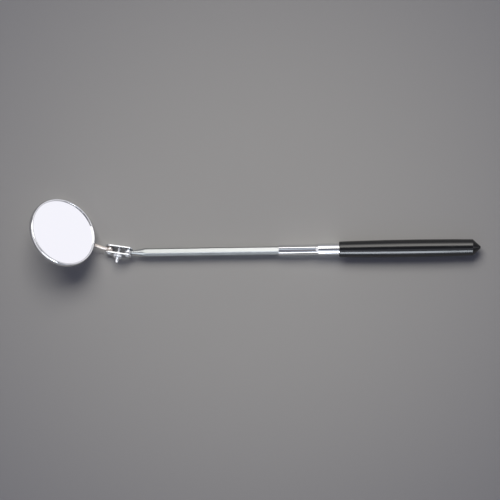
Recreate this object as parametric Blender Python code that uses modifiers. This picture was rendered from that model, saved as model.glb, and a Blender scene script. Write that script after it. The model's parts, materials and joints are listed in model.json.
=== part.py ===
"""Telescoping inspection mirror, in metres with +Z up.

The tool lies on a bench. The handle's axis is level and runs along X, with the grip's tip towards
+X and the mirror at the -X end. The origin is the middle of the footprint, on the bench.

Run with: blender --background --python part.py
"""

import math

import bmesh
import bpy
from mathutils import Matrix, Vector

MM = 0.001
INCH = 0.0254

# Clearances
RUNNING_GAP = 0.3 * MM
FACE_GAP = 0.1 * MM

# Mirror head
BEZEL_RADIUS = 2.25 * INCH / 2
BEZEL_DEPTH = 4.0 * MM
BEZEL_SHEET = 0.5 * MM
BEZEL_EDGE_ROUND = 0.8 * MM
BEZEL_BEAD_WIDTH = 1.9 * MM
BEZEL_BEAD_HEIGHT = 0.9 * MM
GLASS_THICKNESS = 1.5 * MM
STEM_RADIUS = 1.2 * MM
STEM_LENGTH = 13.4 * MM
STEM_FLANGE_RADIUS = 1.7 * MM
STEM_FLANGE_LENGTH = 1.8 * MM

# Double ball clamp
BALL_RADIUS = 2.8 * MM
BALL_SPACING = 14.7 * MM
PLATE_GAP = 4.6 * MM
PLATE_THICKNESS = 1.2 * MM
PLATE_WIDTH = 7.2 * MM
PLATE_EDGE_ROUND = 0.25 * MM
SEAT_WALL = 1.2 * MM
SCREW_RADIUS = 0.112 * INCH / 2
SCREW_HEAD_RADIUS = 2.5 * MM
SCREW_HEAD_RISE = 0.3 * MM
SCREW_REACH = 9.9 * MM
NUT_FLATS = 0.25 * INCH
NUT_THICKNESS = 1.9 * MM

# Sliding rod. Distances along the tool are from the rod's ball, positive towards the handle.
ROD_FLATS = 7 / 32 * INCH
ROD_NECK_RADIUS = 1.3 * MM
ROD_NECK_END = 4.0 * MM
ROD_TAPER_END = 13.9 * MM
ROD_TURN = math.radians(-14.0)
COLLAR_RADIUS = 3.9 * MM
COLLAR_LENGTH = 6.0 * MM
END_SCREW_RADIUS = 1.0 * MM
END_SCREW_LENGTH = 9.0 * MM
END_SCREW_HEAD_RADIUS = 1.9 * MM
END_SCREW_HEAD_LENGTH = 1.2 * MM
RING_WIRE_RADIUS = 0.35 * MM
RING_OPENING = math.radians(40.0)

# Handle
TUBE_RADIUS = 9.5 * MM / 2
TUBE_WALL = 0.55 * MM
TUBE_MOUTH = 119.1 * MM
TUBE_NECK_END = 148.0 * MM
TUBE_ROUND_START = 151.2 * MM
TUBE_END = 269.0 * MM
TUBE_NECK_FLATS = 7.4 * MM
TUBE_NECK_CORNER = 1.0 * MM
GRIP_FRONT = 167.0 * MM
GRIP_CONE_START = 272.7 * MM
GRIP_TIP = 278.9 * MM
GRIP_BELLY = 226.0 * MM
GRIP_BELLY_RADIUS = 6.95 * MM
GRIP_FRONT_RADIUS = 6.2 * MM
GRIP_TIP_RADIUS = 0.6 * MM
PLUG_LENGTH = 6.0 * MM
PLUG_FLANGE = 1.2 * MM

# Where the pieces lie when the tool rests on the bench
ROD_BALL_PLACE = Vector((-100.8 * MM, -16.5 * MM, GRIP_BELLY_RADIUS))
CLAMP_YAW = math.radians(9.0)
CLAMP_DROP = math.radians(8.6)
SCREW_RISE = math.radians(23.0)
STEM_YAW = math.radians(19.1)
STEM_RISE = math.radians(16.0)
MIRROR_HEADING = math.radians(37.7)
MIRROR_TILT = math.radians(36.5)

# Facets around a full turn
SMALL_STEPS = 24
TUBE_STEPS = 48
GRIP_STEPS = 40
HEAD_STEPS = 72


def clear_scene():
    """Remove every object that the file starts with."""
    for obj in list(bpy.data.objects):
        bpy.data.objects.remove(obj, do_unlink=True)


def make_collection(name):
    collection = bpy.data.collections.new(name)
    bpy.context.scene.collection.children.link(collection)
    return collection


def make_material(name, colour, roughness, metallic):
    material = bpy.data.materials.new(name)
    material.use_nodes = True
    shader = material.node_tree.nodes["Principled BSDF"]
    shader.inputs["Base Color"].default_value = (*colour, 1.0)
    shader.inputs["Roughness"].default_value = roughness
    shader.inputs["Metallic"].default_value = metallic
    return material


def make_frame(name, origin, z_axis, x_hint, parent=None):
    """An empty whose Z axis lies along z_axis and whose X axis lies as near x_hint as it can."""
    z_axis = z_axis.normalized()
    y_axis = z_axis.cross(x_hint).normalized()
    x_axis = y_axis.cross(z_axis)
    turn = Matrix((x_axis, y_axis, z_axis)).transposed()
    frame = bpy.data.objects.new(name, None)
    frame.empty_display_size = 5 * MM
    frame.parent = parent
    frame.matrix_world = Matrix.Translation(origin) @ turn.to_4x4()
    parts.objects.link(frame)
    return frame


def add_object(name, data, frame, material=None):
    """Put a mesh or curve in a frame: a part when it has a material, a cutter when it has none."""
    obj = bpy.data.objects.new(name, data)
    obj.parent = frame
    if material is None:
        cutters.objects.link(obj)
        obj.hide_render = True
        obj.display_type = "WIRE"
    else:
        parts.objects.link(obj)
        data.materials.append(material)
    return obj


def mesh_from(name, bm):
    mesh = bpy.data.meshes.new(name)
    bm.to_mesh(mesh)
    bm.free()
    mesh.shade_smooth()
    mesh.set_sharp_from_angle(angle=math.radians(35.0))
    return mesh


def turned(name, frame, profile, material=None, steps=SMALL_STEPS, closed=False):
    """A solid of revolution about the frame's Z axis.

    profile is a list of (radius, height) points that runs down the outer side.
    """
    bm = bmesh.new()
    points = [bm.verts.new((radius, 0.0, height)) for radius, height in profile]
    pairs = list(zip(points, points[1:]))
    if closed:
        pairs.append((points[-1], points[0]))
    for first, second in pairs:
        bm.edges.new((first, second))
    mesh = bpy.data.meshes.new(name)
    bm.to_mesh(mesh)
    bm.free()
    obj = add_object(name, mesh, frame, material)
    screw = obj.modifiers.new("Turn", "SCREW")
    screw.axis = "Z"
    screw.steps = steps
    screw.render_steps = steps
    screw.use_merge_vertices = True
    screw.merge_threshold = 0.00001
    screw.use_smooth_shade = True
    return obj


def prism(name, frame, outline, low, high, material=None):
    """A flat outline in the frame's XY plane, extruded from low to high along Z."""
    bm = bmesh.new()
    face = bm.faces.new([bm.verts.new((x, y, low)) for x, y in outline])
    side = bmesh.ops.extrude_face_region(bm, geom=[face])
    moved = [item for item in side["geom"] if isinstance(item, bmesh.types.BMVert)]
    bmesh.ops.translate(bm, verts=moved, vec=(0.0, 0.0, high - low))
    bmesh.ops.recalc_face_normals(bm, faces=bm.faces)
    return add_object(name, mesh_from(name, bm), frame, material)


def ball(name, frame, radius, material=None, centre=(0.0, 0.0, 0.0)):
    bm = bmesh.new()
    rings = SMALL_STEPS // 2
    bmesh.ops.create_uvsphere(bm, u_segments=SMALL_STEPS, v_segments=rings, radius=radius)
    bmesh.ops.translate(bm, verts=bm.verts, vec=centre)
    return add_object(name, mesh_from(name, bm), frame, material)


def cut(obj, tool, operation="DIFFERENCE"):
    modifier = obj.modifiers.new(tool.name, "BOOLEAN")
    modifier.solver = "EXACT"
    modifier.operation = operation
    modifier.object = tool


def round_edges(obj, width):
    bevel = obj.modifiers.new("Round", "BEVEL")
    bevel.width = width
    bevel.segments = 2
    bevel.limit_method = "ANGLE"
    bevel.angle_limit = math.radians(40.0)


def polygon(sides, radius, turn=0.0):
    angles = [turn + 2.0 * math.pi * i / sides for i in range(sides)]
    return [(radius * math.cos(a), radius * math.sin(a)) for a in angles]


def corner_arc(centre, radius, start, end, count):
    """Points on an arc in the (radius, height) plane, angles in degrees from the outward direction."""
    angles = [math.radians(start + (end - start) * i / count) for i in range(count + 1)]
    return [(centre[0] + radius * math.cos(a), centre[1] + radius * math.sin(a)) for a in angles]


def across_corners(flats):
    return flats / math.cos(math.radians(30.0))


def direction(heading, rise, towards=-1.0):
    """A unit vector that points along towards * X, turned to +Y by heading and up by rise."""
    level = math.cos(rise)
    return Vector((towards * level * math.cos(heading), level * math.sin(heading), math.sin(rise)))


# Handle

def grip_radius(x):
    """The grip is a slim barrel: its radius falls with the square of the distance from the belly."""
    fall = (GRIP_BELLY_RADIUS - GRIP_FRONT_RADIUS) / (GRIP_BELLY - GRIP_FRONT) ** 2
    return GRIP_BELLY_RADIUS - fall * (x - GRIP_BELLY) ** 2


def make_grip(frame, material):
    """A moulded vinyl sleeve with a blind bore and a pointed rear end."""
    bore = TUBE_RADIUS + RUNNING_GAP
    bore_end = TUBE_END + PLUG_FLANGE + 4 * FACE_GAP + RUNNING_GAP
    stations = 12
    side = []
    for i in range(stations + 1):
        x = GRIP_CONE_START + (GRIP_FRONT - GRIP_CONE_START) * i / stations
        side.append((grip_radius(x), x))
    front_round = 0.5 * MM
    side[-1] = (side[-1][0], GRIP_FRONT + front_round)
    profile = [(0.0, GRIP_TIP), (GRIP_TIP_RADIUS, GRIP_TIP - 0.1 * MM), *side]
    profile += [(side[-1][0] - front_round, GRIP_FRONT), (bore, GRIP_FRONT)]
    profile += [(bore, bore_end), (0.0, bore_end)]
    turned("grip_sleeve", frame, profile, material, steps=GRIP_STEPS)


def rounded_hexagon(angle, flats, corner):
    """Radius of a hexagon with rounded corners at an angle from the middle of a flat."""
    half = flats / 2
    sixth = math.radians(60.0)
    offset = abs((angle + sixth / 2) % sixth - sixth / 2)
    tangent = math.atan((half - corner) * math.tan(sixth / 2) / half)
    if offset < tangent:
        return half / math.cos(offset)
    centre = (half - corner) / math.cos(sixth / 2)
    from_corner = sixth / 2 - offset
    return centre * math.cos(from_corner) + math.sqrt(corner**2 - (centre * math.sin(from_corner)) ** 2)


def tube_radius(angle, x, inset):
    """Radius of the tube's outer skin, or of its bore when inset is the wall thickness."""
    neck = rounded_hexagon(angle, TUBE_NECK_FLATS - 2 * inset, TUBE_NECK_CORNER - inset)
    blend = min(max((x - TUBE_NECK_END) / (TUBE_ROUND_START - TUBE_NECK_END), 0.0), 1.0)
    blend = blend * blend * (3.0 - 2.0 * blend)
    return neck + (TUBE_RADIUS - inset - neck) * blend


def make_tube(frame, material):
    """A round tube whose front end is drawn down to a hexagonal neck: a loft between the two."""
    transition = 4
    stations = [TUBE_MOUTH]
    for i in range(transition + 1):
        stations.append(TUBE_NECK_END + (TUBE_ROUND_START - TUBE_NECK_END) * i / transition)
    stations.append(TUBE_END)
    mouth_round = 0.15 * MM
    outer = [(TUBE_MOUTH, mouth_round), (TUBE_MOUTH + mouth_round, 0.0)]
    outer += [(x, 0.0) for x in stations[1:]]
    inner = [(x, TUBE_WALL) for x in reversed(stations)]
    bm = bmesh.new()
    loops = []
    for x, inset in outer + inner:
        loop = []
        for i in range(TUBE_STEPS):
            angle = 2.0 * math.pi * i / TUBE_STEPS
            radius = tube_radius(angle, x, inset)
            # The first flat faces up, along the frame's Y axis.
            loop.append(bm.verts.new((-radius * math.sin(angle), radius * math.cos(angle), x)))
        loops.append(loop)
    for loop, after in zip(loops, loops[1:] + loops[:1]):
        for i in range(TUBE_STEPS):
            j = (i + 1) % TUBE_STEPS
            bm.faces.new((loop[i], loop[j], after[j], after[i]))
    bmesh.ops.recalc_face_normals(bm, faces=bm.faces)
    add_object("handle_tube", mesh_from("handle_tube", bm), frame, material)


def make_end_plug(frame, material):
    """Closes the rear of the tube and is the rod's inner stop."""
    shank = TUBE_RADIUS - TUBE_WALL - RUNNING_GAP
    flange_low = TUBE_END + 2 * FACE_GAP
    flange_high = flange_low + PLUG_FLANGE
    chamfer = 0.4 * MM
    flange = TUBE_RADIUS - FACE_GAP
    profile = [(0.0, flange_high), (flange, flange_high), (flange, flange_low)]
    profile += [(shank, flange_low), (shank, TUBE_END - PLUG_LENGTH + chamfer)]
    profile += [(shank - chamfer, TUBE_END - PLUG_LENGTH), (0.0, TUBE_END - PLUG_LENGTH)]
    turned("tube_end_plug", frame, profile, material)


# Sliding rod

ROD_END = TUBE_ROUND_START + 0.4 * MM


def make_rod(frame, material):
    """A hexagonal bar, turned down at the front to a taper and a round neck."""
    corner = across_corners(ROD_FLATS) / 2
    neck_start = BALL_RADIUS + RUNNING_GAP
    rod = prism("slide_rod", frame, polygon(6, corner, ROD_TURN), neck_start, ROD_END, material)
    beyond = 1.0 * MM
    slope = (corner - ROD_NECK_RADIUS) / (ROD_TAPER_END - ROD_NECK_END)
    taper_top = ROD_TAPER_END + beyond / slope
    wide, top, bottom = corner + beyond, ROD_END + beyond, neck_start - beyond
    envelope = [(0.0, top), (wide, top), (wide, taper_top), (ROD_NECK_RADIUS, ROD_NECK_END)]
    envelope += [(ROD_NECK_RADIUS, bottom), (0.0, bottom)]
    cut(rod, turned("rod_envelope", frame, envelope, steps=2 * SMALL_STEPS), "INTERSECT")
    hole = END_SCREW_RADIUS + RUNNING_GAP
    depth = END_SCREW_LENGTH - COLLAR_LENGTH + RUNNING_GAP
    drill = [(0.0, top), (hole, top), (hole, ROD_END - depth), (0.0, ROD_END - depth)]
    cut(rod, turned("rod_drill", frame, drill))


def make_stop_collar(frame, material):
    """A grooved collar on the rod's inner end, too wide to pass the tube's neck."""
    front = ROD_END + FACE_GAP
    back = front + COLLAR_LENGTH
    groove_radius = COLLAR_RADIUS - 1.1 * MM
    groove_half = RING_WIRE_RADIUS + RUNNING_GAP
    middle = (front + back) / 2
    hole = END_SCREW_RADIUS + RUNNING_GAP
    profile = [(hole, back), (COLLAR_RADIUS, back), (COLLAR_RADIUS, middle + groove_half)]
    profile += [(groove_radius, middle + groove_half), (groove_radius, middle - groove_half)]
    profile += [(COLLAR_RADIUS, middle - groove_half), (COLLAR_RADIUS, front), (hole, front)]
    turned("rod_stop_collar", frame, profile, material, closed=True)


def make_friction_ring(frame, material):
    """A split ring of spring wire in the collar's groove, which drags on the tube's bore."""
    middle = ROD_END + FACE_GAP + COLLAR_LENGTH / 2
    radius = TUBE_RADIUS - TUBE_WALL - FACE_GAP - RING_WIRE_RADIUS
    count = 24
    curve = bpy.data.curves.new("friction_ring", "CURVE")
    curve.dimensions = "3D"
    curve.bevel_depth = RING_WIRE_RADIUS
    curve.bevel_resolution = 2
    curve.use_fill_caps = True
    spline = curve.splines.new("POLY")
    spline.points.add(count)
    for i, point in enumerate(spline.points):
        angle = RING_OPENING / 2 + (2.0 * math.pi - RING_OPENING) * i / count
        point.co = (radius * math.cos(angle), radius * math.sin(angle), middle, 1.0)
    add_object("friction_ring", curve, frame, material)


def make_end_screw(frame, material):
    """Holds the collar on the rod's inner end."""
    head_low = ROD_END + COLLAR_LENGTH + 2 * FACE_GAP
    head_high = head_low + END_SCREW_HEAD_LENGTH
    head = END_SCREW_HEAD_RADIUS
    tip = head_low - END_SCREW_LENGTH
    profile = [(0.0, head_high), (head * 0.75, head_high), (head, head_low + END_SCREW_HEAD_LENGTH / 2)]
    profile += [(head, head_low), (END_SCREW_RADIUS, head_low), (END_SCREW_RADIUS, tip), (0.0, tip)]
    turned("rod_end_screw", frame, profile, material)


# Double ball clamp

PLATE_OUTSIDE = PLATE_GAP / 2 + PLATE_THICKNESS


def stadium(length_between, radius, count=8):
    """A slot-shaped outline whose round ends are centred at x = 0 and x = length_between."""
    points = []
    for centre, start in ((length_between, -90.0), (0.0, 90.0)):
        for i in range(count + 1):
            angle = math.radians(start + 180.0 * i / count)
            points.append((centre + radius * math.cos(angle), radius * math.sin(angle)))
    return points


def make_clamp_plate(name, frame, material, hole_profile):
    """A flat bar, dished outwards at both ends to seat the balls, on the frame's +Z side."""
    outline = stadium(BALL_SPACING, PLATE_WIDTH / 2)
    plate = prism(name, frame, outline, PLATE_GAP / 2, PLATE_OUTSIDE, material)
    round_edges(plate, PLATE_EDGE_ROUND)
    seat = BALL_RADIUS + RUNNING_GAP
    dish = seat + SEAT_WALL
    root = PLATE_OUTSIDE - PLATE_THICKNESS / 3
    edge = math.degrees(math.asin(root / dish))
    cap = [(0.0, dish), *reversed(corner_arc((0.0, 0.0), dish, edge, 80.0, 4)), (0.0, root)]
    for i in range(2):
        centre = (i * BALL_SPACING, 0.0, 0.0)
        boss = turned(f"{name}_boss_{i}", frame, cap)
        boss.location = centre
        cut(plate, boss, "UNION")
        cut(plate, ball(f"{name}_seat_{i}", frame, seat, centre=centre))
    hole = turned(f"{name}_hole", frame, hole_profile)
    hole.location = (BALL_SPACING / 2, 0.0, 0.0)
    cut(plate, hole)


def make_clamp(frame, flipped, steel, plating):
    """Two plates, drawn together on the balls by one screw and nut halfway between them."""
    beyond = 1.0 * MM
    clear = SCREW_RADIUS + RUNNING_GAP
    top, bottom = PLATE_OUTSIDE + beyond, PLATE_GAP / 2 - beyond
    through = [(0.0, top), (clear, top), (clear, bottom), (0.0, bottom)]
    make_clamp_plate("clamp_plate_nut_side", frame, steel, through)

    head_clear = SCREW_HEAD_RADIUS + RUNNING_GAP
    sink = PLATE_GAP / 2 + 0.2 * MM
    countersink = [(0.0, top), (head_clear, top), (head_clear, PLATE_OUTSIDE - FACE_GAP), (clear, sink)]
    countersink += [(clear, bottom), (0.0, bottom)]
    make_clamp_plate("clamp_plate_head_side", flipped, steel, countersink)

    chamfer = 0.3 * MM
    head_rim = PLATE_OUTSIDE - 0.1 * MM
    head_top = PLATE_OUTSIDE + SCREW_HEAD_RISE
    screw = [(0.0, SCREW_REACH), (SCREW_RADIUS - chamfer, SCREW_REACH)]
    screw += [(SCREW_RADIUS, SCREW_REACH - chamfer), (SCREW_RADIUS, -sink - RUNNING_GAP)]
    screw += [(SCREW_HEAD_RADIUS, -head_rim), (SCREW_HEAD_RADIUS * 0.6, -head_top), (0.0, -head_top)]
    body = turned("clamp_screw", frame, screw, plating)
    body.location = (BALL_SPACING / 2, 0.0, 0.0)


def make_nut(frame, material):
    """A thin hexagon nut with chamfered corners, on the screw's axis."""
    low = PLATE_OUTSIDE + FACE_GAP
    high = low + NUT_THICKNESS
    corner = across_corners(NUT_FLATS) / 2
    nut = prism("clamp_nut", frame, polygon(6, corner), low, high, material)
    beyond = 1.0 * MM
    drop = (corner - NUT_FLATS / 2) * math.tan(math.radians(35.0))
    face = NUT_FLATS / 2 - 0.1 * MM
    wide = corner + FACE_GAP
    barrel = [(0.0, high), (face, high), (wide, high - drop), (wide, low + drop), (face, low), (0.0, low)]
    cut(nut, turned("nut_barrel", frame, barrel, steps=2 * SMALL_STEPS), "INTERSECT")
    tap = SCREW_RADIUS + RUNNING_GAP
    top, bottom = high + beyond, low - beyond
    bore = [(0.0, top), (tap, top), (tap, bottom), (0.0, bottom)]
    cut(nut, turned("nut_bore", frame, bore))


# Mirror head

def make_stem(frame, material):
    """A round wire from the ball to the bezel's side wall, flared where it is brazed on."""
    end = STEM_LENGTH - RUNNING_GAP - FACE_GAP
    flare = end - STEM_FLANGE_LENGTH
    start = BALL_RADIUS + RUNNING_GAP
    profile = [(0.0, end), (STEM_FLANGE_RADIUS, end), (STEM_FLANGE_RADIUS, end - STEM_FLANGE_LENGTH / 4)]
    profile += [(STEM_RADIUS * 1.12, flare + STEM_FLANGE_LENGTH / 3), (STEM_RADIUS, flare)]
    profile += [(STEM_RADIUS, start), (0.0, start)]
    turned("mirror_stem", frame, profile, material)


BEAD_UNDERSIDE = BEZEL_DEPTH - BEZEL_BEAD_HEIGHT
GLASS_FRONT = BEAD_UNDERSIDE - FACE_GAP
GLASS_BACK = GLASS_FRONT - GLASS_THICKNESS
INNER_RADIUS = BEZEL_RADIUS - BEZEL_SHEET


def make_bezel(frame, material):
    """A shallow pressed cup whose rim is rolled into a bead over the edge of the glass."""
    bead_radius = BEZEL_RADIUS - BEZEL_BEAD_WIDTH
    edge = BEZEL_EDGE_ROUND
    inner = corner_arc((bead_radius + edge, BEZEL_DEPTH - edge), edge, 180.0, 90.0, 4)
    front = corner_arc((BEZEL_RADIUS - edge, BEZEL_DEPTH - edge), edge, 90.0, 0.0, 4)
    back = corner_arc((BEZEL_RADIUS - edge, edge), edge, 0.0, -90.0, 4)
    profile = [(0.0, BEZEL_SHEET), (INNER_RADIUS, BEZEL_SHEET), (INNER_RADIUS, BEAD_UNDERSIDE)]
    profile += [(bead_radius, BEAD_UNDERSIDE), *inner, *front, *back, (0.0, 0.0)]
    turned("mirror_bezel", frame, profile, material, steps=HEAD_STEPS)


def disc(name, frame, radius, low, high, material):
    profile = [(0.0, high), (radius, high), (radius, low), (0.0, low)]
    turned(name, frame, profile, material, steps=HEAD_STEPS)


def main():
    chrome = make_material("chrome", (0.86, 0.87, 0.88), 0.08, 1.0)
    nickel = make_material("nickel_plate", (0.74, 0.76, 0.77), 0.28, 1.0)
    zinc = make_material("zinc_plate", (0.76, 0.74, 0.71), 0.3, 1.0)
    vinyl = make_material("black_vinyl", (0.012, 0.012, 0.013), 0.22, 0.0)
    brass = make_material("brass", (0.72, 0.55, 0.28), 0.3, 1.0)
    spring = make_material("spring_steel", (0.45, 0.46, 0.48), 0.35, 1.0)
    silvered = make_material("silvered_glass", (0.93, 0.94, 0.95), 0.02, 1.0)
    board = make_material("grey_board", (0.42, 0.41, 0.38), 0.9, 0.0)

    along_tool = Vector((1.0, 0.0, 0.0))
    sideways = Vector((0.0, 1.0, 0.0))
    tool = make_frame("tool_axis", ROD_BALL_PLACE, along_tool, sideways)
    make_grip(tool, vinyl)
    make_tube(tool, chrome)
    make_end_plug(tool, zinc)
    make_rod(tool, nickel)
    make_stop_collar(tool, brass)
    make_friction_ring(tool, spring)
    make_end_screw(tool, zinc)
    ball("rod_ball", tool, BALL_RADIUS, nickel)

    along_clamp = direction(CLAMP_YAW, -CLAMP_DROP)
    level = Vector((-math.sin(CLAMP_YAW), -math.cos(CLAMP_YAW), 0.0))
    upright = along_clamp.cross(level)
    screw_axis = level * math.cos(SCREW_RISE) + upright * math.sin(SCREW_RISE)
    mirror_ball_place = ROD_BALL_PLACE + along_clamp * BALL_SPACING
    clamp = make_frame("clamp_axis", ROD_BALL_PLACE, screw_axis, along_clamp, tool)
    flipped = make_frame("clamp_axis_flipped", ROD_BALL_PLACE, -screw_axis, along_clamp, clamp)
    make_clamp(clamp, flipped, nickel, nickel)
    screw_place = ROD_BALL_PLACE + along_clamp * (BALL_SPACING / 2)
    make_nut(make_frame("nut_axis", screw_place, screw_axis, along_clamp, clamp), nickel)

    along_stem = direction(STEM_YAW, STEM_RISE)
    stem = make_frame("stem_axis", mirror_ball_place, along_stem, screw_axis, clamp)
    ball("mirror_ball", stem, BALL_RADIUS, zinc)
    make_stem(stem, zinc)

    facing = direction(MIRROR_HEADING, math.radians(90.0) - MIRROR_TILT, towards=1.0)
    wall = mirror_ball_place + along_stem * STEM_LENGTH
    inward = (along_stem - facing * along_stem.dot(facing)).normalized()
    centre = wall + inward * BEZEL_RADIUS - facing * (BEZEL_DEPTH / 2)
    head = make_frame("mirror_axis", centre, facing, inward, stem)
    make_bezel(head, zinc)
    inside = INNER_RADIUS - RUNNING_GAP
    disc("mirror_glass", head, inside, GLASS_BACK, GLASS_FRONT, silvered)
    disc("backing_pad", head, inside, BEZEL_SHEET + FACE_GAP, GLASS_BACK - FACE_GAP, board)


clear_scene()
parts = make_collection("inspection_mirror")
cutters = make_collection("cutters")
main()
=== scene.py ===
"""Looks of the telescoping inspection mirror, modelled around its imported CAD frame.

Every place comes from the frame: the nodes' boxes, the joints' axes and the mounts. Sizes are in
millimetres, multiplied by MM, and match the CAD pieces that they stand for.
"""

import json
import math

import bmesh
import bpy
from mathutils import Matrix, Vector


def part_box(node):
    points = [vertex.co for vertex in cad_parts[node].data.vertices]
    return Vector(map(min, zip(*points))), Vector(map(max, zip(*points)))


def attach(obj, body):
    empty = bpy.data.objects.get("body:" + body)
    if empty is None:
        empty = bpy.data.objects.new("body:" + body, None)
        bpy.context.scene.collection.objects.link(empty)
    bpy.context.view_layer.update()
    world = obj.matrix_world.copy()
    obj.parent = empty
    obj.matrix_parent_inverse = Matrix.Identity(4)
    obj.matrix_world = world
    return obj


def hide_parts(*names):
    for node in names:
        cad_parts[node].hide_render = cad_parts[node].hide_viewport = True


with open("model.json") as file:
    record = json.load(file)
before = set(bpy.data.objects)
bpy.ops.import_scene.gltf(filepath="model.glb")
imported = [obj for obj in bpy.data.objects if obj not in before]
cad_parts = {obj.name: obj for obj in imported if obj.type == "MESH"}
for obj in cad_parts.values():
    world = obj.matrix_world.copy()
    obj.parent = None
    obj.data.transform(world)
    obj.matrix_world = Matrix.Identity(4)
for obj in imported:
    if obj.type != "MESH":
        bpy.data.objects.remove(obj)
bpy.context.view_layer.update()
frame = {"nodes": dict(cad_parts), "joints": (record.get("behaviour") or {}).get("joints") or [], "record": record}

MM = 0.001
INCH = 0.0254

# Gap between pieces that the real tool has in contact
CONTACT = 0.04 * MM
# Strip beside a fillet that takes up its smooth shading
FLAT_MARGIN = 0.1 * MM

# Handle, as distances along the tool from the rod's ball
GRIP_FRONT = 167.0 * MM
GRIP_BELLY = 226.0 * MM
GRIP_CONE_START = 272.7 * MM
GRIP_TIP = 278.9 * MM
GRIP_FRONT_RADIUS = 6.2 * MM
GRIP_BELLY_RADIUS = 6.95 * MM
GRIP_BORE_END = 270.9 * MM
GRIP_BORE_CHAMFER = 0.15 * MM
GRIP_BORE_ROUND = 0.1 * MM
GRIP_LIP_ROUND = 0.7 * MM
GRIP_LIP_RUN = 1.9 * MM
GRIP_TIP_RADIUS = 0.75 * MM
GRIP_TIP_ROUND = 0.5 * MM
GRIP_SHOULDER_SHIFT = 0.2 * MM
GRIP_SHOULDER_ROUND = 0.45 * MM
GRIP_SHOULDER_RUN = 3.0 * MM
TUBE_MOUTH = 119.1 * MM
TUBE_NECK_END = 148.0 * MM
TUBE_ROUND_START = 151.2 * MM
TUBE_END = 269.0 * MM
TUBE_RADIUS = 4.75 * MM
TUBE_WALL = 0.55 * MM
TUBE_NECK_FLATS = 7.4 * MM
TUBE_NECK_CORNER = 1.0 * MM
TUBE_FLAT_HOLLOW = 0.15 * MM
TUBE_MOUTH_ROUND = 0.2 * MM

# Sliding rod
ROD_FLATS = 7 / 32 * INCH
ROD_CORNER = 0.3 * MM
ROD_NECK_RADIUS = 1.3 * MM
ROD_NECK_END = 4.0 * MM
ROD_TAPER_END = 13.9 * MM
ROD_END = 151.6 * MM
ROD_CHAMFER = 0.3 * MM
ROD_FLARE = 0.35 * MM
ROD_TAPER_CREASE = 0.06 * MM
ROD_TAPER_RUN_OUT = 0.6 * MM
ROD_TURN = math.radians(-14.0)
ROD_DRILL_RADIUS = 1.3 * MM
ROD_DRILL_DEPTH = 3.3 * MM

# Double ball clamp
BALL_RADIUS = 2.8 * MM
BALL_FLAT = math.radians(8.0)
PLATE_GAP = 4.6 * MM
PLATE_THICKNESS = 1.2 * MM
PLATE_WIDTH = 7.2 * MM
PLATE_EDGE_ROUND = 0.25 * MM
PLATE_INSIDE = PLATE_GAP / 2
PLATE_OUTSIDE = PLATE_INSIDE + PLATE_THICKNESS
DISH_WALL = 1.2 * MM
DISH_SWELL = 0.3 * MM
DISH_FILLET = 0.22 * MM
SCREW_RADIUS = 0.112 * INCH / 2
SCREW_PITCH = INCH / 40
SCREW_THREAD_DEPTH = SCREW_PITCH / 2
SCREW_THREAD_FADE = 0.8 * SCREW_PITCH
SCREW_THREAD_START = 0.2 * MM
SCREW_POINT_STEP = 0.2 * MM
SCREW_HEAD_RADIUS = 2.5 * MM
SCREW_HEAD_RISE = 0.3 * MM
SCREW_HEAD_FLAT = 0.8 * MM
SCREW_HEAD_SHOULDER = 0.72 * SCREW_HEAD_RADIUS
SCREW_SLOT_WIDTH = 0.75 * MM
SCREW_SLOT_DEPTH = 0.65 * MM
SCREW_REACH = 9.9 * MM
HOLE_RADIUS = SCREW_RADIUS + 0.08 * MM
HOLE_CHAMFER = 0.1 * MM
SINK_RADIUS = SCREW_HEAD_RADIUS + 0.1 * MM
SINK_LAND = 0.3 * MM
NUT_FLATS = 0.25 * INCH
NUT_THICKNESS = 1.9 * MM
NUT_FACE_GAP = 0.1 * MM
NUT_CORNER = 0.12 * MM
NUT_CREASE = 0.05 * MM
NUT_CHAMFER_SLOPE = math.tan(math.radians(60.0))
NUT_THREAD_DEPTH = 0.25 * MM
NUT_MOUTH_CHAMFER = 0.3 * MM
NUT_MOUTH_DEPTH = 0.2 * MM

# Mirror head
STEM_RADIUS = 1.2 * MM
STEM_FOOT_FLARE = 0.35 * MM
STEM_FOOT_RUN = 0.5 * MM
STEM_LENGTH = 13.4 * MM
STEM_FLANGE_RADIUS = 1.7 * MM
STEM_FLANGE_LENGTH = 2.6 * MM
BEZEL_RADIUS = 2.25 * INCH / 2
BEZEL_DEPTH = 4.0 * MM
BEZEL_SHEET = 0.5 * MM
BEZEL_BEAD_WIDTH = 1.9 * MM
BEZEL_BEAD_HEIGHT = 0.9 * MM
BEZEL_ROLL_WIDTH = 1.1 * MM
BEZEL_ROLL_DROP = 2.4 * MM
BEZEL_BACK_ROUND = 0.8 * MM
BEZEL_LIP_ROUND = 0.3 * MM
GLASS_THICKNESS = 1.5 * MM
GLASS_SEAT_GAP = 0.1 * MM
GLASS_EDGE_GAP = 0.3 * MM
GLASS_ARRIS = 0.15 * MM

# Studio, in metres
FLOOR_HALF_WIDTH = 6.0
FLOOR_COLOUR = (0.63, 0.622, 0.598)
# Painted shade: the floor's colour far from the tool, standing in for light falling off
FLOOR_PAINTED_FALLOFF_COLOUR = (0.30, 0.30, 0.33)
# Distances from the tool's middle between which a painted falloff of light darkens the floor
PAINTED_FALLOFF_START = 0.04
PAINTED_FALLOFF_END = 0.42
ROOM_COLOUR = (0.62, 0.66, 1.0)
ROOM_STRENGTH = 0.10
WARM = (1.0, 0.975, 0.93)
COOL = (0.86, 0.92, 1.0)
WHITE = (0.985, 0.975, 1.0)
CAMERA_HEIGHT = 8.0
CAMERA_LENS = 727.8
CAMERA_ASIDE = (96.57 * MM, 0.53 * MM)
CAMERA_ROLL = -0.015

# Facets around a full turn
SMALL_STEPS = 96
HEX_STEPS = 180
GRIP_STEPS = 128
HEAD_STEPS = 240
PLATE_STEPS = 288
# Loops from a plate's hole to its edge, and for each turn of a thread
PLATE_ROWS = 44
THREAD_SAMPLES = 12

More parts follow.
